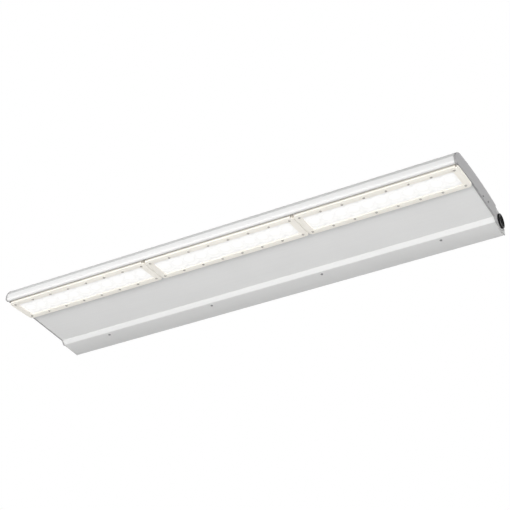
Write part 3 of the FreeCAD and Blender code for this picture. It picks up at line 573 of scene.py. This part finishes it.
def islands(bm):
    """Groups of vertices that hang together."""
    left = set(bm.verts)
    groups = []
    while left:
        front = [left.pop()]
        group = []
        while front:
            vert = front.pop()
            group.append(vert)
            joined = [edge.other_vert(vert) for edge in vert.link_edges]
            fresh = [other for other in joined if other in left]
            left.difference_update(fresh)
            front.extend(fresh)
        groups.append(group)
    return groups


def face_out(bm):
    """Turn the faces of every closed shell outwards."""
    bmesh.ops.recalc_face_normals(bm, faces=bm.faces[:])
    bm.normal_update()
    for group in islands(bm):
        faces = list({face for vert in group for face in vert.link_faces})
        if sum(face.calc_center_median().dot(face.normal) * face.calc_area() for face in faces) < 0:
            bmesh.ops.reverse_faces(bm, faces=faces)


def solid_boxes(node, into):
    """(lowest, highest) corner of each solid of a node, in the frame that a matrix leads into."""
    bm = node_mesh(node)
    boxes = []
    for group in islands(bm):
        points = [into @ vert.co for vert in group]
        low = Vector([min(point[axis] for point in points) for axis in range(3)])
        high = Vector([max(point[axis] for point in points) for axis in range(3)])
        boxes.append((low, high))
    bm.free()
    return boxes


def rounded_rectangle(bm, across, deep, corner, height):
    """Outline of a rectangle with round corners."""
    known = set(bm.edges)
    x, y = across / 2, deep / 2
    corners = [bm.verts.new((px, py, height)) for px, py in ((-x, -y), (x, -y), (x, y), (-x, y))]
    bm.faces.new(corners)
    soften(bm, corners, corner, CORNER_STEPS, affect="VERTICES")
    edges = [edge for edge in bm.edges if edge not in known]
    bmesh.ops.delete(bm, geom=edges[0].link_faces[:], context="FACES_ONLY")
    return edges


def lift(bm, faces, height):
    """Extrude faces along the drawing's height and return the lifted ones."""
    raised = bmesh.ops.extrude_face_region(bm, geom=faces)["geom"]
    bmesh.ops.translate(bm, verts=only(BMVert, raised), vec=(0, 0, height))
    return only(BMFace, raised)


def spun(bm, profile, steps):
    """Spin a profile of (radius, height) points round the drawing's height axis."""
    known = set(bm.verts)
    verts = [bm.verts.new((radius, 0, height)) for radius, height in profile]
    edges = [bm.edges.new(pair) for pair in zip(verts, verts[1:])]
    bmesh.ops.spin(
        bm, geom=verts + edges, axis=(0, 0, 1), cent=(0, 0, 0), angle=2 * math.pi, steps=steps,
        use_merge=True)
    made = [vert for vert in bm.verts if vert not in known]
    bmesh.ops.remove_doubles(bm, verts=made, dist=MERGE_DISTANCE)
    return [vert for vert in bm.verts if vert not in known]


def arc(centre, radius, start, end, steps):
    """Points of an arc in a spin profile, angles in degrees."""
    turns = [math.radians(start + (end - start) * step / steps) for step in range(steps + 1)]
    return [(centre[0] + radius * math.cos(turn), centre[1] + radius * math.sin(turn)) for turn in turns]


def pan_screw(bm, place, head_radius, grip):
    """Pan-head screw with a cross recess, head up from height 0 in its own drawing."""
    s = sizes()
    known = set(bm.verts)
    tall, shank = s.screw_head_height, s.screw_shank
    rim = s.head_rounding * tall
    profile = [
        (s.recess_mouth * head_radius, tall),
        *arc((head_radius - rim, tall - rim), rim, UPWARD, OUTWARD, steps=4),
        (head_radius, 0),
        (shank, 0),
        (shank, -grip),
        (0, -grip),
    ]
    mouth = open_edges(bm, spun(bm, profile, SCREW_STEPS))
    cross = cross_squares(bm, s.recess_reach * head_radius, tall)
    cross_rim = [edge for face in cross for edge in face.edges if edge.is_boundary]
    bmesh.ops.bridge_loops(bm, edges=mouth + cross_rim)
    sunk = lift(bm, cross, -s.recess_deep * tall)
    bmesh.ops.delete(bm, geom=cross, context="FACES")
    floor = list({vert for face in sunk for vert in face.verts})
    bmesh.ops.scale(bm, verts=floor, vec=(s.recess_taper, s.recess_taper, 1))
    bmesh.ops.transform(bm, matrix=place, verts=[vert for vert in bm.verts if vert not in known])


def cross_squares(bm, reach, height):
    """Five squares in a cross, made from a grid without its corners."""
    place = Matrix.Translation((0, 0, height))
    grid = bmesh.ops.create_grid(bm, x_segments=3, y_segments=3, size=reach, matrix=place)["verts"]
    squares = {face for vert in grid for face in vert.link_faces}
    corners = [face for face in squares if min(map(abs, face.calc_center_median().xy)) > reach / 2]
    bmesh.ops.delete(bm, geom=corners, context="FACES")
    return [face for face in squares if face.is_valid]


def hung_screws(node, place, head_radius):
    """Screws for a node's solids, heads down in the drawing that a matrix brings to its place."""
    s = sizes()
    bm = bmesh.new()
    for low, high in solid_boxes(node, place.inverted()):
        middle = (low + high) / 2
        seat = Vector((middle.x, middle.y, low.z + s.screw_head_height))
        head_down = Matrix.Translation(seat) @ Matrix.Rotation(math.pi, 4, "X")
        pan_screw(bm, place @ head_down, head_radius, high.z - seat.z)
    face_out(bm)
    return bm


def end_screws(node, head_radius):
    """Screws for a node's solids, heads towards the light's ends."""
    s = sizes()
    bm = bmesh.new()
    for low, high in solid_boxes(node, Matrix()):
        middle = (low + high) / 2
        side = math.copysign(1, middle.x)
        outer, inner = (high.x, low.x) if side > 0 else (low.x, high.x)
        seat = Vector((outer - side * s.screw_head_height, middle.y, middle.z))
        head_out = Matrix.Translation(seat) @ Matrix.Rotation(side * math.pi / 2, 4, "Y")
        pan_screw(bm, head_out, head_radius, abs(seat.x - inner))
    face_out(bm)
    return bm


def bed_place(module):
    """Matrix from a module's flat drawing, with the lamp bed at height 0, to its place in the light."""
    s = sizes()
    low, high = (Vector(corner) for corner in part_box(f"module_base_{module}"))
    lean = Matrix.Rotation(s.bed_tilt, 4, "X")
    return Matrix.Translation((low + high) / 2) @ lean @ Matrix.Translation((0, 0, s.base_thick / 2))


# Operators, one for each group of pieces.

class LIGHT_OT_housing(Operator):
    """Crowned housing with a flat front and rounded long edges"""
    bl_idname = "linear_light.housing"
    bl_label = "Housing"

    def execute(self, context):
        bm = node_mesh("body_extrusion")
        flatten_front(bm)
        round_long_edges(bm, sizes().fold_radius)
        coat = satin_coat("housing_coat", colours().housing, metallic=0.02, roughness=0.6, grain=0.05)
        finished(bm, "housing", coat, ["body_extrusion"])
        return {"FINISHED"}


class LIGHT_OT_cover(Operator):
    """Folded driver cover"""
    bl_idname = "linear_light.cover"
    bl_label = "Driver cover"

    def execute(self, context):
        bm = node_mesh("driver_cover")
        round_long_edges(bm, sizes().fold_radius)
        coat = satin_coat("cover_coat", colours().cover, metallic=0.02, roughness=0.6, grain=0.05)
        finished(bm, "cover", coat, ["driver_cover"])
        return {"FINISHED"}


class LIGHT_OT_ends(Operator):
    """End caps and driver-box end plates"""
    bl_idname = "linear_light.ends"
    bl_label = "End caps and plates"

    def execute(self, context):
        c = colours()
        cap_coat = satin_coat("end_cap_coat", c.end_cap, metallic=0.05, roughness=0.55, grain=0.12)
        plate_coat = satin_coat("end_plate_coat", c.end_plate, metallic=0.05, roughness=0.55, grain=0.08)
        for side in SIDES:
            cap, plate = f"end_cap_{side}", f"box_end_plate_{side}"
            finished(node_mesh(cap), f"{cap}.coated", cap_coat, [cap])
            finished(node_mesh(plate), f"{plate}.coated", plate_coat, [plate])
        return {"FINISHED"}


class LIGHT_OT_frames(Operator):
    """Cream lamp frames with rounded rims and softened windows"""
    bl_idname = "linear_light.frames"
    bl_label = "Lamp frames"

    def execute(self, context):
        s = sizes()
        seat = -s.base_thick - s.seal_thick
        face = seat - s.frame_thick
        # One finish serves all frames, because its painted shade follows only the height in a module's
        # drawing.
        centre = bed_place(MIDDLE_MODULE).translation
        plastic = frame_moulding("frame_cream", colours().frame, centre, s.bed_tilt, face, seat)
        for module in MODULES:
            bed = bed_place(module)
            bm = node_mesh(f"module_frame_{module}")
            bmesh.ops.transform(bm, matrix=bed.inverted(), verts=bm.verts[:])
            edges = [
                edge for edge in bm.edges
                if edge.calc_face_angle(0) > CREASE_ANGLE
                and all(abs(vert.co.z - face) < NEAR for vert in edge.verts)
            ]
            soften(bm, [edge for edge in edges if self.in_window(edge)], s.window_edge, segments=2)
            rim = [edge for edge in edges if edge.is_valid and self.on_rim(edge)]
            soften(bm, rim, s.frame_edge, segments=4)
            if module != MIDDLE_MODULE:
                self.pass_end_cap(bm, side=module - MIDDLE_MODULE)
            bmesh.ops.transform(bm, matrix=bed, verts=bm.verts[:])
            finished(bm, f"frame_{module}", plastic, [f"module_frame_{module}"])
        return {"FINISHED"}

    def in_window(self, edge):
        """Whether an edge of the face runs round the window."""
        s = sizes()
        middle = middle_of(edge)
        across, deep = s.frame_length / 2 - s.window_end, s.frame_depth / 2 - s.window_side
        return abs(middle.x) < across + NEAR and abs(middle.y) < deep + NEAR

    def on_rim(self, edge):
        """Whether an edge of the face runs round the frame."""
        s = sizes()
        middle = middle_of(edge)
        to_end, to_side = s.frame_length / 2 - abs(middle.x), s.frame_depth / 2 - abs(middle.y)
        return min(to_end, to_side) < s.frame_corner / 2 or max(to_end, to_side) < s.frame_corner

    def pass_end_cap(self, bm, side):
        """Lower the skirt at the light's end, so that it passes below the end cap."""
        s = sizes()
        step = s.frame_length / 2 - s.skirt_step
        for place in (step, step + NEAR):
            geometry = bm.verts[:] + bm.edges[:] + bm.faces[:]
            bmesh.ops.bisect_plane(bm, geom=geometry, plane_co=(side * place, 0, 0), plane_no=ALONG_X)
        for vert in bm.verts:
            if side * vert.co.x > step + MERGE_DISTANCE and vert.co.z > -s.skirt_drop:
                vert.co.z = -s.skirt_drop


class LIGHT_OT_lenses(Operator):
    """Lit lens plates with a row of lenses each"""
    bl_idname = "linear_light.lenses"
    bl_label = "Lens plates"

    def execute(self, context):
        s = sizes()
        for module in MODULES:
            bed = bed_place(module)
            bm = bmesh.new()
            self.plate(bm)
            face_out(bm)
            bmesh.ops.transform(bm, matrix=bed, verts=bm.verts[:])
            light = lit_lens(f"lens_lit_{module}", bed.translation, s.bed_tilt, s.lens_pitch, s.lens_radius)
            finished(bm, f"lens_{module}", light, [f"module_lens_{module}"])
        return {"FINISHED"}

    def plate(self, bm):
        """Plate with its row of lenses, in the module's flat drawing."""
        s = sizes()
        across = s.frame_length - 2 * s.window_end + 2 * s.flange_overlap
        deep = s.frame_depth - 2 * s.window_side + 2 * s.flange_overlap
        face = -s.base_thick - s.seal_thick - s.flange_thick
        rim = rounded_rectangle(bm, across, deep, s.window_corner + s.flange_overlap, face)
        outlines = rim[:]
        for index in range(s.lens_count):
            lens = spun(bm, self.dome(face), LENS_STEPS)
            shift = (index - (s.lens_count - 1) / 2) * s.lens_pitch
            bmesh.ops.translate(bm, verts=lens, vec=(shift, 0, 0))
            outlines += open_edges(bm, lens)
        bmesh.ops.triangle_fill(bm, edges=outlines, use_beauty=True)
        wall = bmesh.ops.extrude_edge_only(bm, edges=rim)["geom"]
        bmesh.ops.translate(bm, verts=only(BMVert, wall), vec=(0, 0, s.flange_thick))
        back = [edge for edge in only(BMEdge, wall) if edge.is_boundary]
        bmesh.ops.contextual_create(bm, geom=back)

    def dome(self, face):
        """Spin profile of one lens, from its foot on the plate's face to its top."""
        s = sizes()
        bow = (s.lens_radius ** 2 + s.lens_proud ** 2) / (2 * s.lens_proud)
        half_turn = math.degrees(math.asin(s.lens_radius / bow))
        return arc((0, face + bow - s.lens_proud), bow, DOWNWARD + half_turn, DOWNWARD, steps=6)


class LIGHT_OT_frame_screws(Operator):
    """Pan-head screws round the lamp windows"""
    bl_idname = "linear_light.frame_screws"
    bl_label = "Frame screws"

    def execute(self, context):
        steel = turned_metal("frame_screw_coat", colours().frame_screw, roughness=0.55, metallic=0.2)
        for module in MODULES:
            node = f"module_screws_{module}"
            bm = hung_screws(node, bed_place(module), sizes().screw_head)
            finished(bm, f"frame_screws_{module}", steel, [node])
        return {"FINISHED"}


class LIGHT_OT_outer_screws(Operator):
    """Pan-head screws of the cover, the end caps and the end plates"""
    bl_idname = "linear_light.outer_screws"
    bl_label = "Outer screws"

    def execute(self, context):
        s, c = sizes(), colours()
        steel = turned_metal("cover_screw_steel", c.cover_screw, roughness=0.5, metallic=0.2)
        black = turned_metal("cap_screw_black", c.cap_screw, roughness=0.5, metallic=0.2)
        plated = turned_metal("plate_screw_coat", c.end_plate, roughness=0.45)
        bm = hung_screws("driver_cover_screws", Matrix(), s.screw_head)
        finished(bm, "cover_screws", steel, ["driver_cover_screws"])
        bm = end_screws("end_cap_screws", s.cap_screw_head)
        finished(bm, "cap_screws", black, ["end_cap_screws"])
        bm = end_screws("box_end_plate_screws", s.cap_screw_head)
        finished(bm, "plate_screws", plated, ["box_end_plate_screws"])
        return {"FINISHED"}


class LIGHT_OT_cable_bush(Operator):
    """Rubber cable bush with a stepped mouth"""
    bl_idname = "linear_light.cable_bush"
    bl_label = "Cable bush"

    def execute(self, context):
        s = sizes()
        low, high = (Vector(corner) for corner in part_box("cable_bush"))
        seat = high.x - s.bush_proud
        bm = bmesh.new()
        verts = spun(bm, self.profile(back=low.x - seat), BUSH_STEPS)
        place = Matrix.Translation((seat, (low.y + high.y) / 2, (low.z + high.z) / 2))
        bmesh.ops.transform(bm, matrix=place @ Matrix.Rotation(math.pi / 2, 4, "Y"), verts=verts)
        face_out(bm)
        finished(bm, "bush", rubber("bush_rubber", colours().rubber), ["cable_bush"])
        return {"FINISHED"}

    def profile(self, back):
        """Spin profile from the membrane over the rim to the back, with the end plate's face at height 0."""
        s = sizes()
        edge, small = s.bush_edge, s.bush_edge / 2
        step = s.bush_proud - s.bush_ring_deep
        return [
            (0, s.bush_floor),
            *arc((s.bush_mouth - edge, edge), edge - s.bush_floor, DOWNWARD, OUTWARD, steps=4),
            *arc((s.bush_mouth + small, step - small), small, INWARD, UPWARD, steps=3),
            *arc((s.bush_ring - small, step + small), small, DOWNWARD, OUTWARD, steps=3),
            *arc((s.bush_ring + small, s.bush_proud - small), small, INWARD, UPWARD, steps=3),
            *arc((s.bush_rim - edge, s.bush_proud - edge), edge, UPWARD, OUTWARD, steps=5),
            (s.bush_rim, 0),
            (s.bush_neck, 0),
            (s.bush_neck, back + s.bush_lip),
            (s.bush_neck + s.bush_lip, back + s.bush_lip),
            (s.bush_neck, back),
            (0, back),
        ]


class LIGHT_OT_inner_parts(Operator):
    """Finishes of the seals, bases, boards, lamps, drivers, terminals and leads"""
    bl_idname = "linear_light.inner_parts"
    bl_label = "Inner parts"

    def execute(self, context):
        c = colours()
        silicone = moulded_plastic("seal_silicone", c.silicone, roughness=0.6, grain=0.05)
        steel = turned_metal("inner_screw_steel", c.steel, roughness=0.38)
        bare = satin_coat("bare_aluminium", c.base, metallic=0.9, roughness=0.35, grain=0.05)
        case = satin_coat("driver_case_metal", c.base, metallic=0.7, roughness=0.4, grain=0.05)
        board = circuit_board("lamp_board", c.board, c.base)
        chips = lamp_chips("lamp_chips")
        sheath = rubber("lead_sheath", c.sheath)
        coat_node("driver_cover_seal", rubber("seal_rubber", c.rubber))
        for side in SIDES:
            coat_node(f"end_gasket_{side}", silicone)
        for node in ("module_fixing_screws", "driver_box_screws", "earth_screw"):
            coat_node(node, steel)
        for module in MODULES:
            coat_node(f"module_seal_{module}", silicone)
            coat_node(f"module_base_{module}", bare)
            coat_node(f"module_board_{module}", board)
            coat_node(f"module_leds_{module}", chips)
            coat_node(f"module_lead_{module}", sheath)
            coat_node(f"mains_lead_{module}", sheath)
            coat_node(f"led_driver_{module}", case)
        terminal = moulded_plastic("terminal_plastic", c.terminal, roughness=0.45, grain=0.05)
        coat_node("terminal_block", terminal)
        coat_node("terminal_screws", turned_metal("terminal_brass", c.brass, roughness=0.35))
        return {"FINISHED"}


class LIGHT_OT_stage(Operator):
    """Camera, floor, sky and soft boxes"""
    bl_idname = "linear_light.stage"
    bl_label = "Stage"

    def execute(self, context):
        stage = context.scene.light_stage
        context.scene.view_settings.view_transform = "Standard"
        self.camera(context, stage)
        self.floor(context, stage)
        self.sky(context, stage)
        for name in SOFTBOXES:
            watts, place, side = (getattr(stage, f"{name}_{part}") for part in ("power", "place", "side"))
            self.softbox(context, name, watts, place, side)
        return {"FINISHED"}

    def camera(self, context, stage):
        """Camera that sees the light as the photograph does."""
        view = bpy.data.cameras.new("photo_camera")
        view.lens = stage.camera_lens
        view.sensor_width = SENSOR_WIDTH
        view.shift_x = stage.camera_shift
        camera = bpy.data.objects.new("photo_camera", view)
        camera.location = stage.camera_place
        camera.rotation_euler = stage.camera_turn
        context.scene.collection.objects.link(camera)
        context.scene.camera = camera

    def floor(self, context, stage):
        """Pale floor, lifted to near white where it is seen or mirrored."""
        material, tree, shader = new_finish("floor_paint")
        shader.inputs["Emission Color"].default_value = (1, 1, 1, 1)
        link(tree, where_seen(tree, 0, stage.floor_lift), shader.inputs["Emission Strength"])
        mottle = mottled(tree, noise(tree, scale=3), stage.floor_tone, darkest=1, palest=1.05)
        link(tree, mottle, shader.inputs["Base Color"])
        shader.inputs["Roughness"].default_value = 0.8
        bm = bmesh.new()
        drop = Matrix.Translation((0, 0, -stage.floor_drop))
        bmesh.ops.create_grid(bm, x_segments=4, y_segments=4, size=stage.floor_size, matrix=drop)
        mesh = bpy.data.meshes.new("floor")
        bm.to_mesh(mesh)
        bm.free()
        mesh.materials.append(material)
        floor = bpy.data.objects.new("floor", mesh)
        context.scene.collection.objects.link(floor)

    def sky(self, context, stage):
        """White where it is seen or mirrored, softer where it lights."""
        world = bpy.data.worlds.new("studio_sky")
        world.use_nodes = True
        context.scene.world = world
        tree = world.node_tree
        background = tree.nodes["Background"]
        background.inputs["Color"].default_value = (1, 1, 1, 1)
        link(tree, where_seen(tree, stage.sky, 1), background.inputs["Strength"])

    def softbox(self, context, name, watts, place, side):
        """Square lamp that faces the light's middle."""
        lamp = bpy.data.lights.new(name, "AREA")
        lamp.energy = watts
        lamp.size = side
        box = bpy.data.objects.new(name, lamp)
        low, high = (Vector(corner) for corner in CAD_BOX)
        box.location = place
        box.rotation_euler = ((low + high) / 2 - Vector(place)).to_track_quat("-Z", "Y").to_euler()
        box.visible_camera = False
        context.scene.collection.objects.link(box)


OPERATORS = (
    LIGHT_OT_housing,
    LIGHT_OT_cover,
    LIGHT_OT_ends,
    LIGHT_OT_frames,
    LIGHT_OT_lenses,
    LIGHT_OT_frame_screws,
    LIGHT_OT_outer_screws,
    LIGHT_OT_cable_bush,
    LIGHT_OT_inner_parts,
    LIGHT_OT_stage,
)


class LIGHT_PT_panel(Panel):
    """Pieces of the linear light"""
    bl_idname = "LIGHT_PT_panel"
    bl_label = "Linear Light"
    bl_space_type = "VIEW_3D"
    bl_region_type = "UI"
    bl_category = "Linear Light"

    def draw(self, context):
        for operator in OPERATORS:
            self.layout.operator(operator.bl_idname)
        for settings in (context.scene.light_sizes, context.scene.light_colours, context.scene.light_stage):
            box = self.layout.box()
            for name in settings.__annotations__:
                box.prop(settings, name)


CLASSES = (LightSizes, LightColours, LightStage, *OPERATORS, LIGHT_PT_panel)


def register():
    """Make the settings, the operators and the panel known."""
    for each in CLASSES:
        bpy.utils.register_class(each)
    bpy.types.Scene.light_sizes = PointerProperty(type=LightSizes)
    bpy.types.Scene.light_colours = PointerProperty(type=LightColours)
    bpy.types.Scene.light_stage = PointerProperty(type=LightStage)


def unregister():
    """Take the settings, the operators and the panel away."""
    del bpy.types.Scene.light_stage
    del bpy.types.Scene.light_colours
    del bpy.types.Scene.light_sizes
    for each in reversed(CLASSES):
        bpy.utils.unregister_class(each)


def main():
    """Make every piece and the stage."""
    register()
    for operator in OPERATORS:
        group, name = operator.bl_idname.split(".")
        getattr(getattr(bpy.ops, group), name)()


if __name__ == "__main__":
    main()
